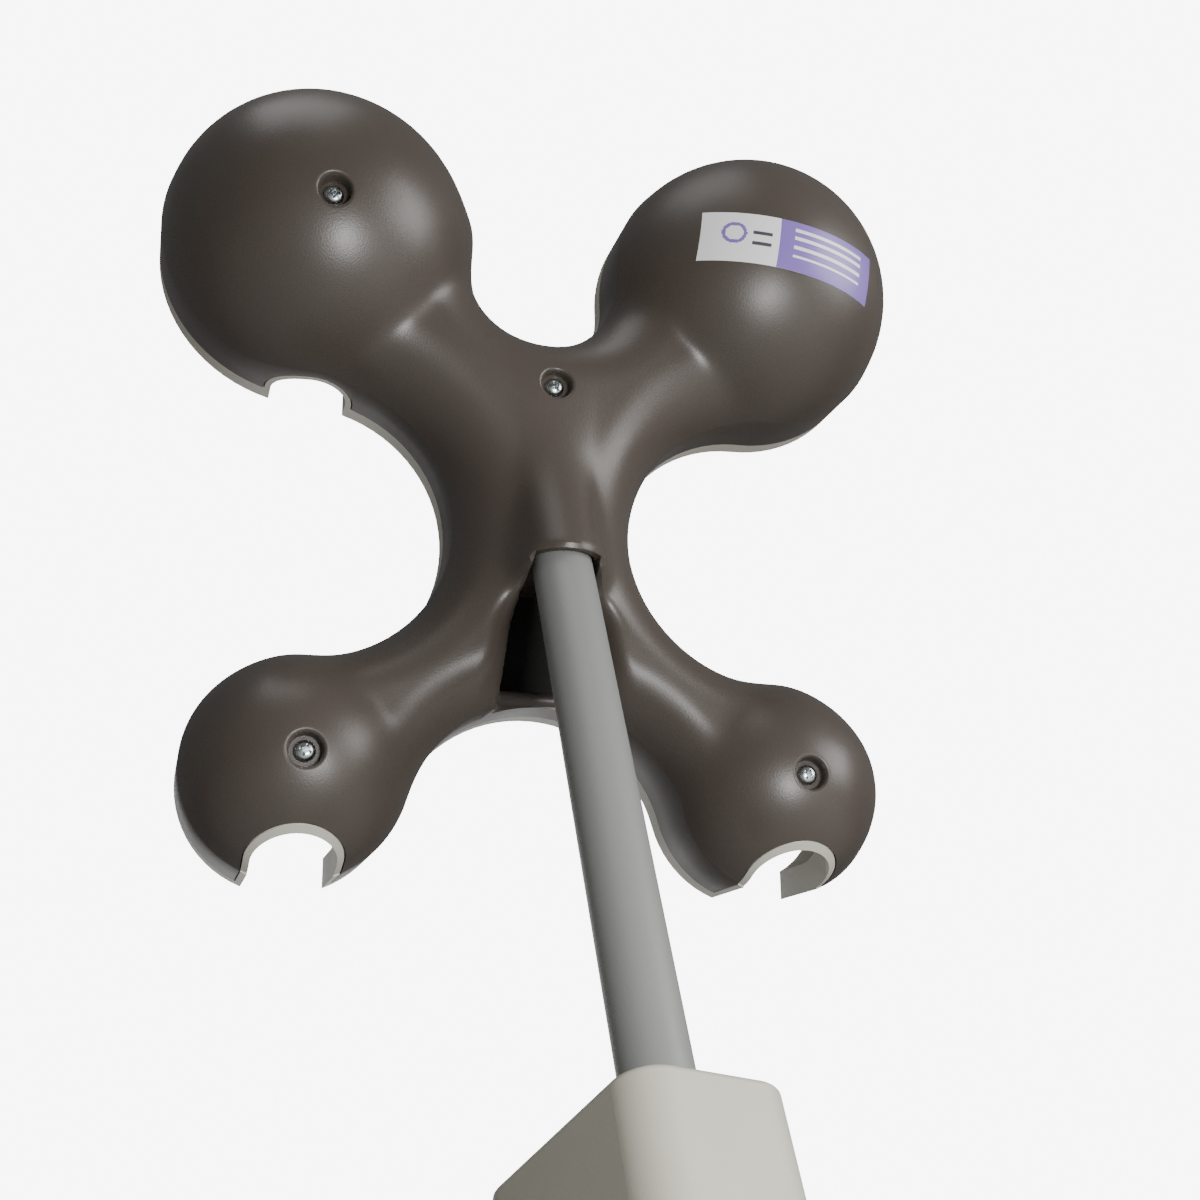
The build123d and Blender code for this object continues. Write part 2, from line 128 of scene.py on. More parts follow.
# Rounding of the arms' inner flanks towards the throat
FLANK_TOP_V = THROAT_TOP_V + 3
FLANK_FADE = 26.0
FLANK_EDGE = 0.8
FLANK_ROUND = 11.0
FLANK_START = 0.04
FLANK_FOOT = LIP_TOP + 4

# Pan-head shell screws; the head's section is in shares of its radius and height
SCREW_R = 3.75
SCREW_HEAD = 2.6
SCREW_SHANK_R = 2.0
SCREW_LENGTH = 8.5
SCREW_TURN = 0.5
SCREW_TURN_STEP = 1.3
SCREW_TIP = 0.6
SCREW_TIP_SHARE = 0.7
SCREW_RIM = 0.12
SCREW_RIM_STEP = 0.15
SCREW_EDGE = 0.06
PAN_HEAD = [(0, 1), (0.35, 0.98), (0.65, 0.86), (0.88, 0.6), (0.985, 0.3)]

# Label on the upper right ball, with its plain ring, bars and rows; its middle is the origin
LABEL_U = 73.0
LABEL_V = 21.0
LABEL_T = 0.25
LABEL_LIFT = 0.02
LABEL_DROP = radians(5.0)
LABEL_ROLL = radians(-7.5)
LABEL_CELL = 0.5
LABEL_SPLIT = -0.1 * LABEL_U
RING_U = -0.34 * LABEL_U
RING_V = 1.5
RING_INNER_R = 3.2
RING_OUTER_R = 4.6
BAR_START = -0.25 * LABEL_U
BAR_END = LABEL_SPLIT - 3
BAR_V = 2.2
BAR_HALF = 0.7
ROW_START = LABEL_SPLIT + 6
ROW_END = 0.42 * LABEL_U
ROW_LOW = -0.36 * LABEL_V
ROW_PITCH = 0.18 * LABEL_V
ROW_COUNT = 4
ROW_GAP = 0.62
WHITE, TINT, INK = range(3)

# Mesh steps
MERGE = 1e-7
RIM_STEP = 2.4
LEAST_STEPS = 6
RING_INSETS = (0.0, 0.35, 1.1, 2.2, 3.6, 5.4, 7.6)
GRID = 2.0
GRID_GAP = 0.55
WELL_SEGMENTS = 48
LIP_STEPS = 12
SLOT_STEPS = 32
MAST_STEPS = 40
SETTLE_ROUNDS = 60
INSIDE_WITH_HOLES = 2
SNAP = 1e-5

# Camera, floor and lights, in metres
CAMERA_AT = Vector((0.2414, 0.3113, -0.0799))
CAMERA_VIEW = Vector((-0.4543, -0.5532, 0.6982)).normalized()
CAMERA_ROLL = radians(11.6)
CAMERA_LENS = 46.5
BACKDROP = 8.0
FLOOR_Z = -0.35
FLOOR_HALF = 3
AIM = Vector((0, 0, 0.36))


def head_matrix():
    """From the head's millimetres to the row's metres."""
    basis = Matrix(
        (
            (-1, 0, 0, 0),
            (0, sin(LEAN), cos(LEAN), 0),
            (0, cos(LEAN), -sin(LEAN), 0),
            (0, 0, 0, 1),
        )
    )
    place = Matrix.Translation((0, 0, HEAD_Z)) @ Matrix.Rotation(HEAD_TURN, 4, "Z") @ basis
    return Matrix.Scale(MM, 4) @ place @ Matrix.Translation((0, -ENTRY_V, -ENTRY_W))


HEAD = head_matrix()
ROW = Matrix.Scale(MM, 4)


# ---------------------------------------------------------------- planform


def crotch_radius(gap, ball_r):
    """Radius of the circle between two equal balls that passes at gap from their line."""
    return (CUP_U**2 + gap * gap - ball_r * ball_r) / (2 * (gap + ball_r))


def side_crotch():
    """Centre and radius of the circle between the upper and lower ball at one side."""
    radius = CUP_RISE / 4
    inset = CUP_U - SIDE_WAIST
    for _ in range(SETTLE_ROUNDS):
        v = (CUP_RISE**2 - (TOP_R**2 - LOW_R**2) - 2 * radius * (TOP_R - LOW_R)) / (2 * CUP_RISE)
        radius = (v * v + inset * inset - LOW_R**2) / (2 * (LOW_R + inset))
    return SIDE_WAIST + radius, v, radius


def crotch_circles():
    """Crotch circles (u, v, radius): top, left, bottom, right."""
    top_r = crotch_radius(CUP_RISE - TOP_WAIST, TOP_R)
    low_r = crotch_radius(LOW_WAIST, LOW_R)
    side_u, side_v, side_r = side_crotch()
    return [
        (0.0, TOP_WAIST + top_r, top_r),
        (-side_u, side_v, side_r),
        (0.0, LOW_WAIST - low_r, low_r),
        (side_u, side_v, side_r),
    ]


BALLS = [
    (CUP_U, CUP_RISE, TOP_R),
    (-CUP_U, CUP_RISE, TOP_R),
    (-CUP_U, 0.0, LOW_R),
    (CUP_U, 0.0, LOW_R),
]
CROTCHES = crotch_circles()


def outline_arcs():
    """The outline's eight arcs, counterclockwise: (u, v, radius, start angle, turn, is a ball)."""
    arcs = []
    for i, (u, v, r) in enumerate(BALLS):
        before = CROTCHES[i - 1]
        after = CROTCHES[i]
        start = atan2(before[1] - v, before[0] - u)
        end = atan2(after[1] - v, after[0] - u)
        arcs.append((u, v, r, start, (end - start) % tau, True))
        next_ball = BALLS[(i + 1) % 4]
        start = atan2(v - after[1], u - after[0])
        end = atan2(next_ball[1] - after[1], next_ball[0] - after[0])
        arcs.append((after[0], after[1], after[2], start, -((start - end) % tau), False))
    return arcs


def outline(inset):
    """Points round the outline, moved inwards; their number doesn't depend on the inset."""
    points = []
    for u, v, r, start, turn, is_ball in outline_arcs():
        steps = max(LEAST_STEPS, round(abs(turn) * r / RIM_STEP))
        reach = r - inset if is_ball else r + inset
        for k in range(steps):
            angle = start + turn * k / steps
            points.append((u + reach * cos(angle), v + reach * sin(angle)))
    return points


def inside(u, v, margin):
    """True where a point is inside the outline by at least margin."""
    if any(hypot(u - x, v - y) < r - margin for x, y, r in BALLS):
        return True
    if abs(u) > CUP_U or not 0 <= v <= CUP_RISE:
        return False
    return all(hypot(u - x, v - y) > r + margin for x, y, r in CROTCHES)


# ---------------------------------------------------------------- height of the back


def smoothstep(x):
    """Smooth 0 to 1."""
    x = min(max(x, 0.0), 1.0)
    return x * x * (3 - 2 * x)


def soft_root(q, floor):
    """Square root that turns into a straight line below floor."""
    if q > floor:
        return sqrt(q)
    return sqrt(floor) + (q - floor) / (2 * sqrt(floor))


def smooth_max(a, b, width):
    """The larger of two, with a rounded changeover."""
    return 0.5 * (a + b + sqrt((a - b) ** 2 + width * width))


def throat_half(v):
    """Half the throat's width at a height up the head."""
    share = (THROAT_TOP_V - v) / (THROAT_TOP_V - LOW_WAIST)
    return THROAT_TOP_HALF + (THROAT_LOW_HALF - THROAT_TOP_HALF) * share


def form_height(u, v):
    """Height of the back's outer face over the head's plane."""
    rise = smoothstep(v / CUP_RISE)
    width = ARM_LOW_ROUND + (ARM_TOP_ROUND - ARM_LOW_ROUND) * rise
    height = ARM_LOW_W + (ARM_TOP_W - ARM_LOW_W) * rise
    depth = min(hypot(u - x, v - y) - r for x, y, r in CROTCHES)
    share = min(depth / width, 1.0)
    q = height * height * share * (2 - share)
    beyond = max(abs(u) - CUP_U, 0.0) ** 2 + max(v - CUP_RISE, 0.0) ** 2 + min(v, 0.0) ** 2
    q -= END_FALL * beyond
    for x, y, r in BALLS:
        q = smooth_max(q, r**2 - (u - x) ** 2 - (v - y) ** 2, BLEND)
    lift = LOW_LIFT * (1 - smoothstep(v / LIFT_END_V))
    body = lift + soft_root(q, SOFTEST)
    axis_w = ENTRY_W - (v - ENTRY_V) * sin(LEAN) / cos(LEAN)
    hood = axis_w + soft_root(HOOD_R**2 - u * u, HOOD_SOFTEST) / cos(LEAN)
    hood -= HOOD_END_SLOPE * max(HOOD_END_V - v, 0.0)
    return throat_edge(u, v, smooth_max(body, hood, HOOD_BLEND))


def back_height(u, v, inset=0.0):
    """Height of the back's outer face, or of the face that lies inset below it all round."""
    height = form_height(u, v) - inset
    if inset:
        for k in range(8):
            across = inset * cos(pi * k / 4)
            along = inset * sin(pi * k / 4)
            height = min(height, form_height(u + across, v + along))
            part = form_height(u + INSET_PART * across, v + INSET_PART * along) - INSET_PART * inset
            height = min(height, part)
    return height


def throat_edge(u, v, height):
    """Rounds the arms' inner flanks over towards the throat, more so further from the hood."""
    growth = smoothstep((FLANK_TOP_V - v) / FLANK_FADE)
    if growth == 0:
        return height
    width = FLANK_EDGE + FLANK_ROUND * growth
    share = (abs(u) - throat_half(v)) / width
    share = min(max(share + FLANK_START, 0.0), 1.0)
    factor = sqrt(max(1 - (1 - share) ** 2, 0.0))
    return FLANK_FOOT + (height - FLANK_FOOT) * (1 - growth + growth * factor)


# ---------------------------------------------------------------- mesh helpers


def new_object(name, vertices, faces, matrix):
    """A mesh object from lists, with its vertices moved by matrix."""
    mesh = bpy.data.meshes.new(name)
    mesh.from_pydata([matrix @ Vector(p) for p in vertices], [], faces)
    mesh.validate()
    work = bmesh.new()
    work.from_mesh(mesh)
    bmesh.ops.remove_doubles(work, verts=work.verts, dist=MERGE)
    bmesh.ops.recalc_face_normals(work, faces=work.faces)
    work.to_mesh(mesh)
    work.free()
    item = bpy.data.objects.new(name, mesh)
    bpy.context.collection.objects.link(item)
    return item


def settle(item):
    """Applies an object's modifiers to its mesh."""
    view = bpy.context.evaluated_depsgraph_get()
    mesh = bpy.data.meshes.new_from_object(item.evaluated_get(view))
    item.modifiers.clear()
    old = item.data
    item.data = mesh
    bpy.data.meshes.remove(old)


def cut(item, tool):
    """Takes one closed mesh out of another; the tool is used up."""
    step = item.modifiers.new("cut", "BOOLEAN")
    step.operation = "DIFFERENCE"
    step.solver = "EXACT"
    step.object = tool
    settle(item)
    bpy.data.objects.remove(tool)


def shade(item, degrees):
    """Smooth shading that keeps edges sharper than an angle."""
    item.data.polygons.foreach_set("use_smooth", [True] * len(item.data.polygons))
    item.data.set_sharp_from_angle(angle=radians(degrees))


def finish(item, *finishes):
    """Gives an object its materials, in place of any that it has."""
    item.data.materials.clear()
    for look in finishes:
        item.data.materials.append(look)


def add_points(vertices, points):
    """Adds points to a list of vertices and returns the row of their numbers."""
    first = len(vertices)
    vertices += points
    return list(range(first, len(vertices)))


def following(row):
    """Pairs of neighbours round a closed row."""
    return list(zip(row, row[1:] + row[:1]))


def band(low, high):
    """Faces between two closed rows of vertices."""
    return [[a, b, d, c] for (a, b), (c, d) in zip(following(low), following(high))]


def between(name, first, second, matrix):
    """A closed volume between two polygons that have the same number of points."""
    low = list(range(len(first)))
    high = [len(first) + k for k in low]
    return new_object(name, first + second, [low[::-1], high] + band(low, high), matrix)


def prism(name, points, low, high, matrix):
    """A closed prism over a polygon in the XY plane."""
    return between(name, [(x, y, low) for x, y in points], [(x, y, high) for x, y in points], matrix)


def lathe(name, profile, matrix, segments, closed=False):
    """A turned piece: profile is (radius, height) points from the axis outwards and round."""
    vertices = []
    faces = []
    rings = []
    for radius, height in profile:
        if radius < 1e-6:
            rings.append([len(vertices)])
            vertices.append((0, 0, height))
            continue
        ring = []
        for k in range(segments):
            angle = tau * k / segments
            ring.append(len(vertices))
            vertices.append((radius * cos(angle), radius * sin(angle), height))
        rings.append(ring)
    pairs = list(zip(rings, rings[1:]))
    if closed:
        pairs.append((rings[-1], rings[0]))
    for low, high in pairs:
        for k in range(segments):
            a = low[k % len(low)]
            b = low[(k + 1) % len(low)]
            c = high[(k + 1) % len(high)]
            d = high[k % len(high)]
            corners = list(dict.fromkeys((a, b, c, d)))
            if len(corners) > 2:
                faces.append(corners)
    return new_object(name, vertices, faces, matrix)


# ---------------------------------------------------------------- back shell


def wells():
    """Screw wells (u, v, height of the face round them)."""
    places = [(0.0, CENTRE_V)]
    places += [(u, v - (TOP_WELL_DROP if r == TOP_R else 0.0)) for u, v, r in BALLS]
    return [(u, v, back_height(u, v)) for u, v in places]


def well_ring(u, v, radius):
    """Points of a circle round a well's axis."""
    angles = [tau * k / WELL_SEGMENTS for k in range(WELL_SEGMENTS)]
    return [(u + radius * cos(angle), v + radius * sin(angle)) for angle in angles]


def add_well(vertices, faces, place, rim):
    """A round well with a soft rim, from its hole in the face down to the end of its screw hole."""
    u, v, top = place
    above = rim
    for radius, depth in WELL_SECTION:
        level = smoothstep(depth / WELL_LEVEL)
        points = []
        for x, y in well_ring(u, v, radius):
            face = back_height(x, y)
            points.append((x, y, face + (top - face) * level - depth))
        ring = add_points(vertices, points)
        faces += band(above, ring)
        above = ring
    foot = len(vertices)
    vertices.append((u, v, top - WELL_DEPTH - WALL))
    faces += [[a, b, foot] for a, b in following(above)]


def plan_grid(margin, holes):
    """Points of a triangular grid inside the outline and clear of the wells."""
    step_v = GRID * sqrt(3) / 2
    span_u = CUP_U + TOP_R
    points = []
    for j in range(ceil((CUP_RISE + TOP_R + LOW_R) / step_v)):
        for i in range(ceil(2 * span_u / GRID)):
            u = -span_u + (i + 0.5 * (j % 2)) * GRID
            v = -LOW_R + j * step_v
            near_well = any(hypot(u - x, v - y) < WELL_RIM + GRID / 2 for x, y, _ in holes)
            if inside(u, v, margin) and not near_well:
                points.append((u, v))
    return points


def cover(vertices, border, inset, holes):
    """Fills a closed row of vertices: returns the triangles, and the row round each well in them."""
    plan = [vertices[k][:2] for k in border]
    edges = following(list(range(len(plan))))
    for u, v, _ in holes:
        edges += following(add_points(plan, well_ring(u, v, WELL_RIM)))
    plan += plan_grid(inset + RING_INSETS[-1] + GRID_GAP * GRID, holes)
    found = delaunay_2d_cdt([Vector(p) for p in plan], edges, [], INSIDE_WITH_HOLES, SNAP)
    spots, triangles, sources = found[0], found[2], found[3]
    order = []
    number = {}
    for spot, source in zip(spots, sources):
        if source[0] < len(border):
            order.append(border[source[0]])
        else:
            order += add_points(vertices, [(spot.x, spot.y, back_height(spot.x, spot.y, inset))])
        number[source[0]] = order[-1]
    faces = []
    for triangle in triangles:
        middle = sum((spots[k] for k in triangle), Vector((0, 0))) / 3
        if all(hypot(middle.x - x, middle.y - y) > WELL_RIM for x, y, _ in holes):
            faces.append([order[k] for k in triangle])
    starts = [len(border) + h * WELL_SEGMENTS for h in range(len(holes))]
    return faces, [[number[start + k] for k in range(WELL_SEGMENTS)] for start in starts]


def back_volume(name, inset, base, holes):
    """A closed volume under the back's face, down to base, with a well at each hole."""
    vertices = []
    rows = []
    for level in (base, SKIRT_SHARE * base):
        rows.append(add_points(vertices, [(u, v, level) for u, v in outline(inset)]))
    for step in RING_INSETS:
        loop = outline(inset + step)
        rows.append(add_points(vertices, [(u, v, back_height(u, v, inset)) for u, v in loop]))
    faces = [rows[0][::-1]]
    for low, high in zip(rows, rows[1:]):
        faces += band(low, high)
    triangles, rims = cover(vertices, rows[-1], inset, holes)
    faces += triangles
    for place, rim in zip(holes, rims):
        add_well(vertices, faces, place, rim)
    return new_object(name, vertices, faces, HEAD)


def throat(name, spread):
    """The open throat as a closed volume: a taper seen from the back, a lipped dish from the side."""
    top_v = THROAT_TOP_V + spread
    floor = THROAT_FLOOR - spread
    inner_v = LIP_INNER_V - spread
    crest = LIP_TOP - spread
    side = [(top_v, 2 * TOP_R), (top_v, floor), (inner_v, floor)]
    for k in range(LIP_STEPS - 1):
        angle = pi * k / LIP_STEPS
        side.append((inner_v - LIP_R + LIP_R * cos(angle), crest - LIP_R + LIP_R * sin(angle)))
    side += [(0, crest - 2 * LIP_R), (0, 2 * TOP_R)]
    left = [(-throat_half(v) - spread, v, w) for v, w in side]
    right = [(throat_half(v) + spread, v, w) for v, w in side]
    return between(name, left, right, HEAD)


def well_room(place):
    """What a well and its wall keep of the shell's hollow."""
    u, v, top = place
    low = top - WELL_DEPTH - WALL
    high = top + WELL_KEEP_RISE
    section = [(0, low), (WELL_KEEP_R, low), (WELL_KEEP_R, high), (0, high)]
    return lathe("well_keep", section, HEAD @ Matrix.Translation((u, v, 0)), 32)


def mast_bore():
    """The mast's way through the hood, upright in the row."""
    section = [(0, BORE_LOW), (HOOD_BORE_R, BORE_LOW), (HOOD_BORE_R, BORE_HIGH), (0, BORE_HIGH)]
    return lathe("bore_cut", section, ROW @ Matrix.Translation((0, 0, HEAD_Z)), 64)


def slot_room(u, v, apex):
    """Room for a cable slot with its rim, from under the ball's middle to past its edge."""
    r = SLOT_R + SLOT_GROW
    centre = apex - SLOT_R
    angles = [pi * k / SLOT_STEPS for k in range(SLOT_STEPS + 1)]
    section = [(r, SLOT_FOOT)] + [(r * cos(angle), centre + r * sin(angle)) for angle in angles]
    section.append((-r, SLOT_FOOT))
    place = Matrix.Translation((u, v - SLOT_START + SLOT_GROW, 0)) @ Matrix.Rotation(pi / 2, 4, "X")
    return prism("slot_cut", section, 0, SLOT_REACH, HEAD @ place)


SLOTS = [
    (-CUP_U, CUP_RISE, TOP_SLOT_APEX),
    (-CUP_U, 0.0, LOW_SLOT_APEX),
    (CUP_U, 0.0, LOW_SLOT_APEX),
]


def paint_throat_shade(shell):
    """Gives the deep faces of the throat the shell's second finish: a near-black matt that is painted
    shade, standing in for the throat's shadow.
    """
    back = HEAD.inverted()
    for face in shell.data.polygons:
        spot = back @ face.center
        deep = THROAT_FLOOR - THROAT_NEAR < spot.z < LIP_TOP - LIP_R
        along = LIP_INNER_V - THROAT_NEAR < spot.y < THROAT_TOP_V + THROAT_NEAR
        if deep and along and abs(spot.x) < throat_half(spot.y) + THROAT_NEAR:
            face.material_index = 1


def make_back_shell(satin, matt_painted_shade):
    """The dark rear shell with its wells, throat, mast bore and slot cut-outs."""
    shell = back_volume("back_shell_skin", 0.0, PARTING, wells())
    cut(shell, throat("throat_cut", 0.0))
    hollow = back_volume("hollow_cut", WALL, PARTING - 1, [])
    cut(hollow, throat("throat_keep", WALL))
    for place in wells():
        cut(hollow, well_room(place))
    cut(shell, hollow)
    cut(shell, mast_bore())
    for u, v, apex in SLOTS:
        cut(shell, slot_room(u, v, apex))
    shade(shell, 30)
    finish(shell, satin, matt_painted_shade)
    # Painted shade: the throat's deep faces take the near-black matt finish in place of the shadow that
    # falls there
    paint_throat_shade(shell)
    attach(shell, "head")
    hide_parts("back_shell")


# ---------------------------------------------------------------- screws, mast, column, label


def cut_cross(screw, place):
    """Cuts a screw's cross recess: two blades and the cone where they meet."""
    arm = SCREW_R * 0.56
    half = SCREW_R * 0.115
    blade = [(-arm, -half), (arm, -half), (arm, half), (-arm, half)]
    for k in range(2):
        turned = place @ Matrix.Rotation(k * pi / 2, 4, "Z")
        cut(screw, prism("cross_cut", blade, SCREW_HEAD * 0.3, SCREW_HEAD + 1, turned))
    mouth = SCREW_HEAD + 0.3
    cone = [(0, mouth), (SCREW_R * 0.27, mouth), (SCREW_R * 0.2, SCREW_HEAD * 0.45), (0, SCREW_HEAD * 0.2)]
    cut(screw, lathe("cone_cut", cone, place, 24))


def break_edges(item, width):
    """Softly broken edges, applied to the mesh."""
    bevel = item.modifiers.new("edge", "BEVEL")
    bevel.width = width * MM
    bevel.segments = 2
    bevel.limit_method = "ANGLE"
    bevel.angle_limit = radians(40)
    settle(item)


def cross_screw(name, place):
    """A pan-head screw with a real cross recess, its seat at Z 0."""
    section = [(SCREW_R * across, SCREW_HEAD * up) for across, up in PAN_HEAD]
    section += [(SCREW_R, SCREW_RIM), (SCREW_R - SCREW_RIM_STEP, 0), (SCREW_SHANK_R, 0)]
    section += [(SCREW_SHANK_R, SCREW_TIP - SCREW_LENGTH), (SCREW_SHANK_R * SCREW_TIP_SHARE, -SCREW_LENGTH)]
    section.append((0, -SCREW_LENGTH))
    screw = lathe(name, section, place, 48)
    cut_cross(screw, place)
    break_edges(screw, SCREW_EDGE)
    shade(screw, 35)
    return screw


def make_shell_screws(zinc):
    """The five shell screws in their wells."""
    for i, (u, v, top) in enumerate(wells()):
        seat = HEAD @ Matrix.Translation((u, v, top - WELL_DEPTH))
        turn = Matrix.Rotation(SCREW_TURN + SCREW_TURN_STEP * i, 4, "Z")
        screw = cross_screw(f"shell_screw_{i}", seat @ turn)
        finish(screw, zinc)
        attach(screw, "head")
        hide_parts("shell_screws")


def label_finish(x, y):
    """Which of the label's finishes lies at a place on it."""
    if x > LABEL_SPLIT:
        row = (y - ROW_LOW) / ROW_PITCH
        in_row = ROW_START < x < ROW_END and 0 < row < ROW_COUNT and row % 1 > ROW_GAP
        return WHITE if in_row else TINT
    if RING_INNER_R < hypot(x - RING_U, y - RING_V) < RING_OUTER_R:
        return TINT
    in_bar = BAR_START < x < BAR_END and abs(abs(y) - BAR_V) < BAR_HALF
    return INK if in_bar else WHITE


def label_rim(across, down):
    """The row of vertices round a grid's edge, counterclockwise."""
    width = across + 1
    rim = list(range(across)) + [j * width + across for j in range(down)]
    rim += [width * (down + 1) - 1 - i for i in range(across)]
    return rim + [(down - j) * width for j in range(down)]


def make_label(white, tint, ink):
    """Thin vinyl label wrapped on the upper right ball, with a plain ring and bars for print."""
    across = round(LABEL_U / LABEL_CELL)
    down = round(LABEL_V / LABEL_CELL)
    vertices = []
    for radius in (TOP_R + LABEL_LIFT, TOP_R + LABEL_T):
        for j in range(down + 1):
            for i in range(across + 1):
                x = (i / across - 0.5) * LABEL_U
                y = (j / down - 0.5) * LABEL_V
                vertices.append((x, y, sqrt(radius**2 - x * x - y * y)))
    layer = len(vertices) // 2
    faces = []
    finishes = []
    for j in range(down):
        for i in range(across):
            a = j * (across + 1) + i
            quad = [a, a + 1, a + across + 2, a + across + 1]
            faces += [[layer + k for k in quad], quad[::-1]]
            x = ((i + 0.5) / across - 0.5) * LABEL_U
            y = ((j + 0.5) / down - 0.5) * LABEL_V
            finishes += [label_finish(x, y), WHITE]
    for a, b in following(label_rim(across, down)):
        faces.append([a, b, layer + b, layer + a])
        finishes.append(WHITE)
    place = HEAD @ Matrix.Translation((CUP_U, CUP_RISE, 0))
    place = place @ Matrix.Rotation(LABEL_DROP, 4, "X") @ Matrix.Rotation(LABEL_ROLL, 4, "Z")
    label = new_object("label_vinyl", vertices, faces, place)
    finish(label, white, tint, ink)
    label.data.polygons.foreach_set("material_index", finishes)
    shade(label, 40)
    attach(label, "head")
    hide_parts("service_label")


def make_mast(paint):
    """The painted mast with softly broken ends."""
    low, high = [corner[2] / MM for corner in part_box("mast_tube")]
    bore = MAST_R - MAST_WALL
    step = (high - low) / MAST_STEPS
    wall = [(bore, low), (MAST_R - MAST_EDGE, low), (MAST_R, low + MAST_EDGE)]
    wall += [(MAST_R, low + step * k) for k in range(1, MAST_STEPS)]
    wall += [(MAST_R, high - MAST_EDGE), (MAST_R - MAST_EDGE, high), (bore, high)]
    mast = lathe("mast_paint_tube", wall, ROW, 96, closed=True)
    shade(mast, 40)
    finish(mast, paint)
    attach(mast, "head")
    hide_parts("mast_tube")


def finish_nodes(look, *names):
    """Gives CAD nodes a material."""
    for name in names:
        finish(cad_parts[name], look)


# ---------------------------------------------------------------- materials


def base_material(name, colour, roughness, metallic=0.0):
    """A principled material; returns it with its tree, shader and an object-space coordinate node."""
    item = bpy.data.materials.new(name)
    item.use_nodes = True
    tree = item.node_tree
    shader = tree.nodes["Principled BSDF"]
    shader.inputs["Base Color"].default_value = (*colour, 1)
    shader.inputs["Roughness"].default_value = roughness
    shader.inputs["Metallic"].default_value = metallic
    coords = tree.nodes.new("ShaderNodeTexCoord")
    return item, tree, shader, coords.outputs["Object"]


def noise(tree, source, scale, detail=3.0):
    """A noise texture's factor."""
    node = tree.nodes.new("ShaderNodeTexNoise")
    node.inputs["Scale"].default_value = scale
    node.inputs["Detail"].default_value = detail
    tree.links.new(source, node.inputs["Vector"])
    return node.outputs["Fac"]


def spread(tree, factor, low, high):
    """A factor's middle range mapped to low and high."""
    node = tree.nodes.new("ShaderNodeMapRange")
    node.inputs["From Min"].default_value = 0.3
    node.inputs["From Max"].default_value = 0.7
    node.inputs["To Min"].default_value = low
    node.inputs["To Max"].default_value = high
    tree.links.new(factor, node.inputs["Value"])
    return node.outputs["Result"]


def mix_colours(tree, factor, first, second):
    """Blends two colours by a factor."""
    node = tree.nodes.new("ShaderNodeMix")
    node.data_type = "RGBA"
    node.inputs["A"].default_value = (*first, 1)
    node.inputs["B"].default_value = (*second, 1)
    tree.links.new(factor, node.inputs["Factor"])
    return node.outputs["Result"]


def add_bump(tree, shader, factor, distance):
    """Feeds a height into the shader's normal."""
    node = tree.nodes.new("ShaderNodeBump")
    node.inputs["Distance"].default_value = distance
    node.inputs["Strength"].default_value = 1.0
    tree.links.new(factor, node.inputs["Height"])
    tree.links.new(node.outputs["Normal"], shader.inputs["Normal"])


def uneven_colour(tree, shader, factor, first, second):
    """Lets the base colour drift between two."""
    tree.links.new(mix_colours(tree, factor, first, second), shader.inputs["Base Color"])


def uneven_gloss(tree, shader, factor, low, high):
    """Lets the roughness drift between two values."""
    tree.links.new(spread(tree, factor, low, high), shader.inputs["Roughness"])


def toned(colour, share):
    """A colour made lighter or darker."""
    return tuple(c * share for c in colour)


def moulded(name, colour, roughness, grain_scale, grain_height):
    """Moulded plastic: fine grain, slow colour drift and uneven gloss."""
    item, tree, shader, place = base_material(name, colour, roughness)
    slow = spread(tree, noise(tree, place, 9.0, 4.0), 0.0, 1.0)
    uneven_colour(tree, shader, slow, toned(colour, 0.9), toned(colour, 1.12))
    handled = noise(tree, place, 26.0, 5.0)
    uneven_gloss(tree, shader, handled, roughness - 0.04, roughness + 0.05)
    add_bump(tree, shader, noise(tree, place, grain_scale, 2.0), grain_height)
    return item


def painted(name, colour, roughness):
    """Satin powder coat with a little orange peel."""
    item, tree, shader, place = base_material(name, colour, roughness)
    uneven_colour(tree, shader, noise(tree, place, 14.0, 4.0), colour, toned(colour, 1.06))
    uneven_gloss(tree, shader, noise(tree, place, 40.0), roughness - 0.03, roughness + 0.04)
    add_bump(tree, shader, noise(tree, place, 900.0, 2.0), 0.00003)
    return item


def metal(name, colour, roughness):
    """Plated or turned metal with uneven brightness."""
    item, tree, shader, place = base_material(name, colour, roughness, 1.0)
    uneven_colour(tree, shader, noise(tree, place, 700.0, 4.0), toned(colour, 0.72), colour)
    uneven_gloss(tree, shader, noise(tree, place, 320.0), roughness - 0.08, roughness + 0.1)
    add_bump(tree, shader, noise(tree, place, 2200.0, 2.0), 0.00001)
    return item


# ---------------------------------------------------------------- light and camera


def make_floor():
    """A plain pale floor well below the part, which is held by its column."""
    half = FLOOR_HALF
    corners = [(-half, -half, 0), (half, -half, 0), (half, half, 0), (-half, half, 0)]
    floor = new_object("floor", corners, [[0, 1, 2, 3]], Matrix.Translation((0, 0, FLOOR_Z)))
    pale, tree, shader, place = base_material("floor_pale", (0.9, 0.9, 0.89), 0.8)
    uneven_colour(tree, shader, noise(tree, place, 3.0), (0.88, 0.88, 0.87), (0.93, 0.93, 0.92))
    finish(floor, pale)


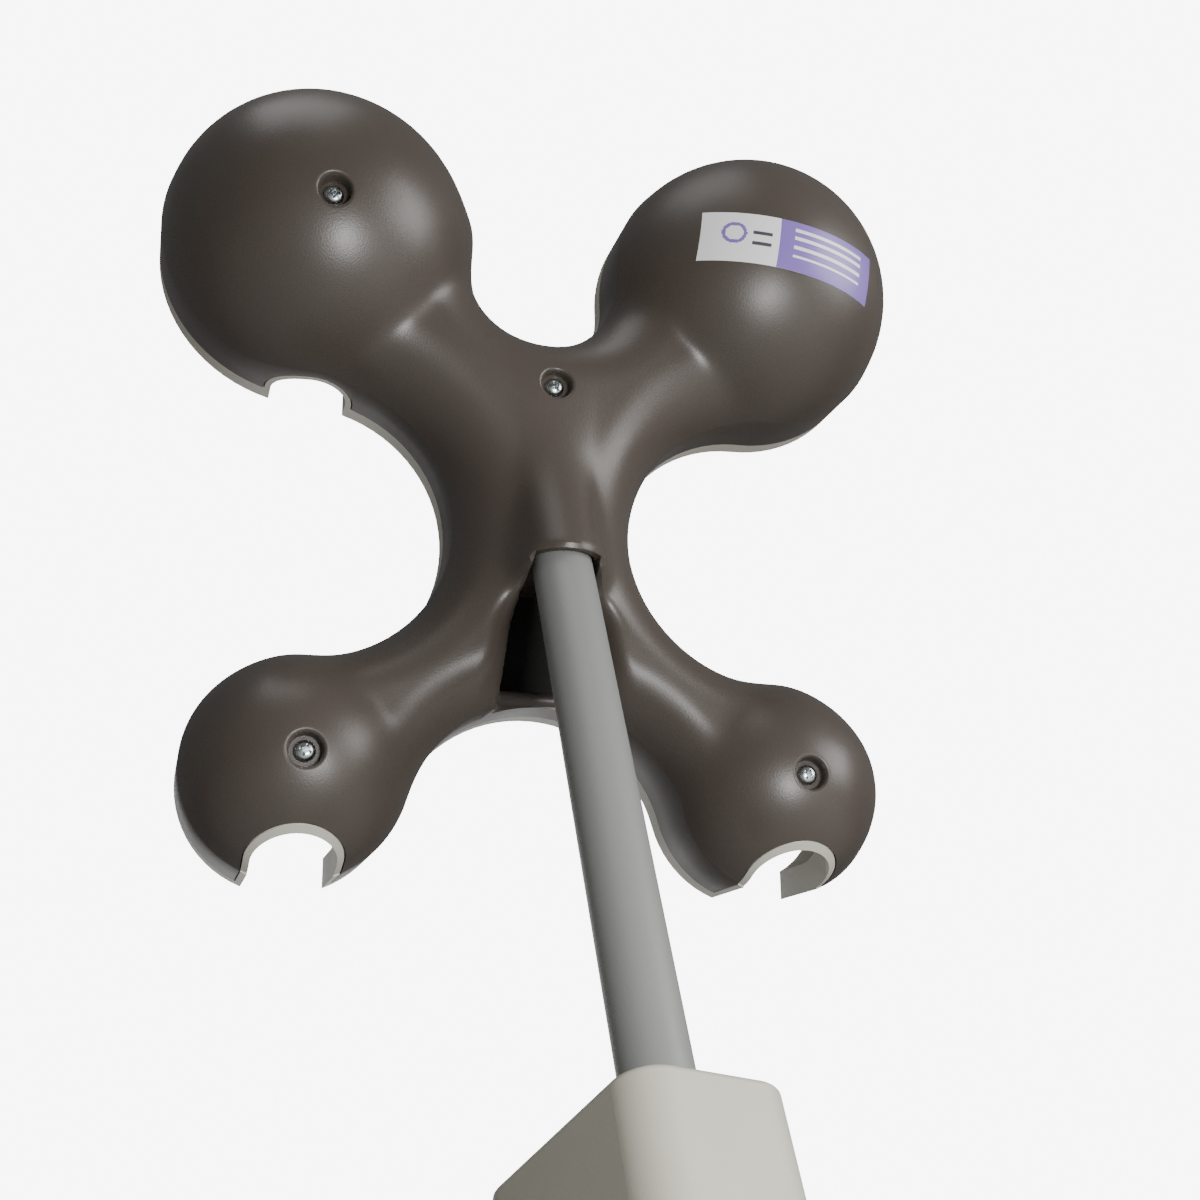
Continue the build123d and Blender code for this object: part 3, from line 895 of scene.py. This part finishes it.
def make_world():
    """An even white studio, dimmer from below."""
    world = bpy.data.worlds.new("studio")
    bpy.context.scene.world = world
    world.use_nodes = True
    tree = world.node_tree
    place = tree.nodes.new("ShaderNodeTexCoord")
    split = tree.nodes.new("ShaderNodeSeparateXYZ")
    tree.links.new(place.outputs["Generated"], split.inputs["Vector"])
    tree.nodes["Background"].inputs["Color"].default_value = (1, 1, 1, 1)
    fade = tree.nodes.new("ShaderNodeMapRange")
    fade.inputs["From Min"].default_value = -0.15
    fade.inputs["From Max"].default_value = 0.3
    fade.inputs["To Min"].default_value = 0.05
    fade.inputs["To Max"].default_value = 0.2
    tree.links.new(split.outputs["Z"], fade.inputs["Value"])
    path = tree.nodes.new("ShaderNodeLightPath")
    seen = tree.nodes.new("ShaderNodeMix")
    seen.inputs["B"].default_value = BACKDROP
    tree.links.new(path.outputs["Is Camera Ray"], seen.inputs["Factor"])
    tree.links.new(fade.outputs["Result"], seen.inputs["A"])
    tree.links.new(seen.outputs["Result"], tree.nodes["Background"].inputs["Strength"])


def soft_light(name, at, target, size, power):
    """A square soft light aimed at a point."""
    data = bpy.data.lights.new(name, "AREA")
    data.size = size
    data.energy = power
    item = bpy.data.objects.new(name, data)
    item.location = at
    item.rotation_euler = (Vector(target) - Vector(at)).to_track_quat("-Z", "Y").to_euler()
    bpy.context.collection.objects.link(item)


def make_camera():
    """The camera, behind and below the head and looking up; returns its right and up."""
    data = bpy.data.cameras.new("camera")
    data.lens = CAMERA_LENS
    data.sensor_width = 36
    data.clip_start = 0.01
    level = CAMERA_VIEW.cross(Vector((0, 0, 1))).normalized()
    rise = level.cross(CAMERA_VIEW)
    right = cos(CAMERA_ROLL) * level - sin(CAMERA_ROLL) * rise
    up = right.cross(CAMERA_VIEW)
    item = bpy.data.objects.new("camera", data)
    turn = Matrix((right, up, -CAMERA_VIEW)).transposed().to_4x4()
    item.matrix_world = Matrix.Translation(CAMERA_AT) @ turn
    bpy.context.collection.objects.link(item)
    bpy.context.scene.camera = item
    return right, up


def make_lights(right, up):
    """Soft lights: a key beside the camera, a wide one to its right, and two from above and in front."""
    key_at = CAMERA_AT + 0.24 * right + 0.08 * up
    side_at = CAMERA_AT + 0.35 * CAMERA_VIEW + 1.3 * right + 0.6 * up
    soft_light("key", key_at, AIM, size=0.12, power=3.6)
    soft_light("side", side_at, AIM, size=0.8, power=16.0)
    soft_light("top", Vector((0.5, 0.6, 1.5)), AIM, size=0.8, power=4.0)
    soft_light("front", Vector((-0.4, -1.3, 0.9)), AIM, size=1.0, power=4.0)


def finished_back_shell():
    """The rear shell in its satin finish, with a near-black matt finish in the throat that is painted
    shade.
    """
    dark = moulded("dark_moulding", (0.058, 0.047, 0.039), 0.37, grain_scale=1500.0, grain_height=0.00005)
    # Near-black matt for the throat: painted shade, where the throat lies in shadow
    matt_painted_shade = moulded("matt_painted_shade_black", (0.006, 0.006, 0.005), 0.9, grain_scale=1500.0, grain_height=0.00005)
    make_back_shell(dark, matt_painted_shade)


def finished_label():
    """The label in its white, tinted and dark finishes."""
    white = moulded("label_white", (0.75, 0.75, 0.76), 0.3, grain_scale=500.0, grain_height=0.00001)
    tint = moulded("label_tint", (0.2, 0.13, 0.42), 0.3, grain_scale=500.0, grain_height=0.00001)
    ink = moulded("label_ink", (0.06, 0.06, 0.08), 0.35, grain_scale=500.0, grain_height=0.00001)
    make_label(white, tint, ink)


def make_metalwork():
    """The screws and mast, and the finish of the metal CAD nodes."""
    zinc = metal("zinc_plate", (0.62, 0.67, 0.68), 0.25)
    make_shell_screws(zinc)
    make_mast(painted("mast_coat", (0.21, 0.215, 0.205), 0.42))
    finish_nodes(zinc, "seat_screws", "strap_screws", "drag_screw", "drag_nut", "housing_screws")
    steel = metal("plated_steel", (0.5, 0.51, 0.52), 0.35)
    finish_nodes(steel, "seat_plate", "mast_strap", "stop_pin", "mast_socket", "base_plate", "mast_seat")
    finish_nodes(metal("turned_brass", (0.75, 0.56, 0.25), 0.3), "boss_inserts")


def finish_mouldings():
    """The finish of the plastic and rubber CAD nodes."""
    pale = moulded("pale_moulding", (0.52, 0.50, 0.43), 0.42, grain_scale=1500.0, grain_height=0.00003)
    beige = (0.47, 0.455, 0.375)
    column = moulded("column_moulding", beige, 0.45, grain_scale=1400.0, grain_height=0.00003)
    rubber = moulded("soft_rubber", (0.03, 0.03, 0.03), 0.7, grain_scale=900.0, grain_height=0.00004)
    acetal = moulded("acetal", (0.02, 0.02, 0.02), 0.35, grain_scale=900.0, grain_height=0.00001)
    finish_nodes(pale, "front_shell")
    finish_nodes(column, "column_housing")
    finish_nodes(rubber, "rest_pads")
    finish_nodes(acetal, "mast_plug", "upper_bush", "lower_bush", "thrust_washer", "drag_pad")


def main():
    """Builds every piece, its finish, the light and the camera."""
    finished_back_shell()
    make_metalwork()
    finished_label()
    finish_mouldings()
    make_floor()
    make_world()
    make_lights(*make_camera())


main()
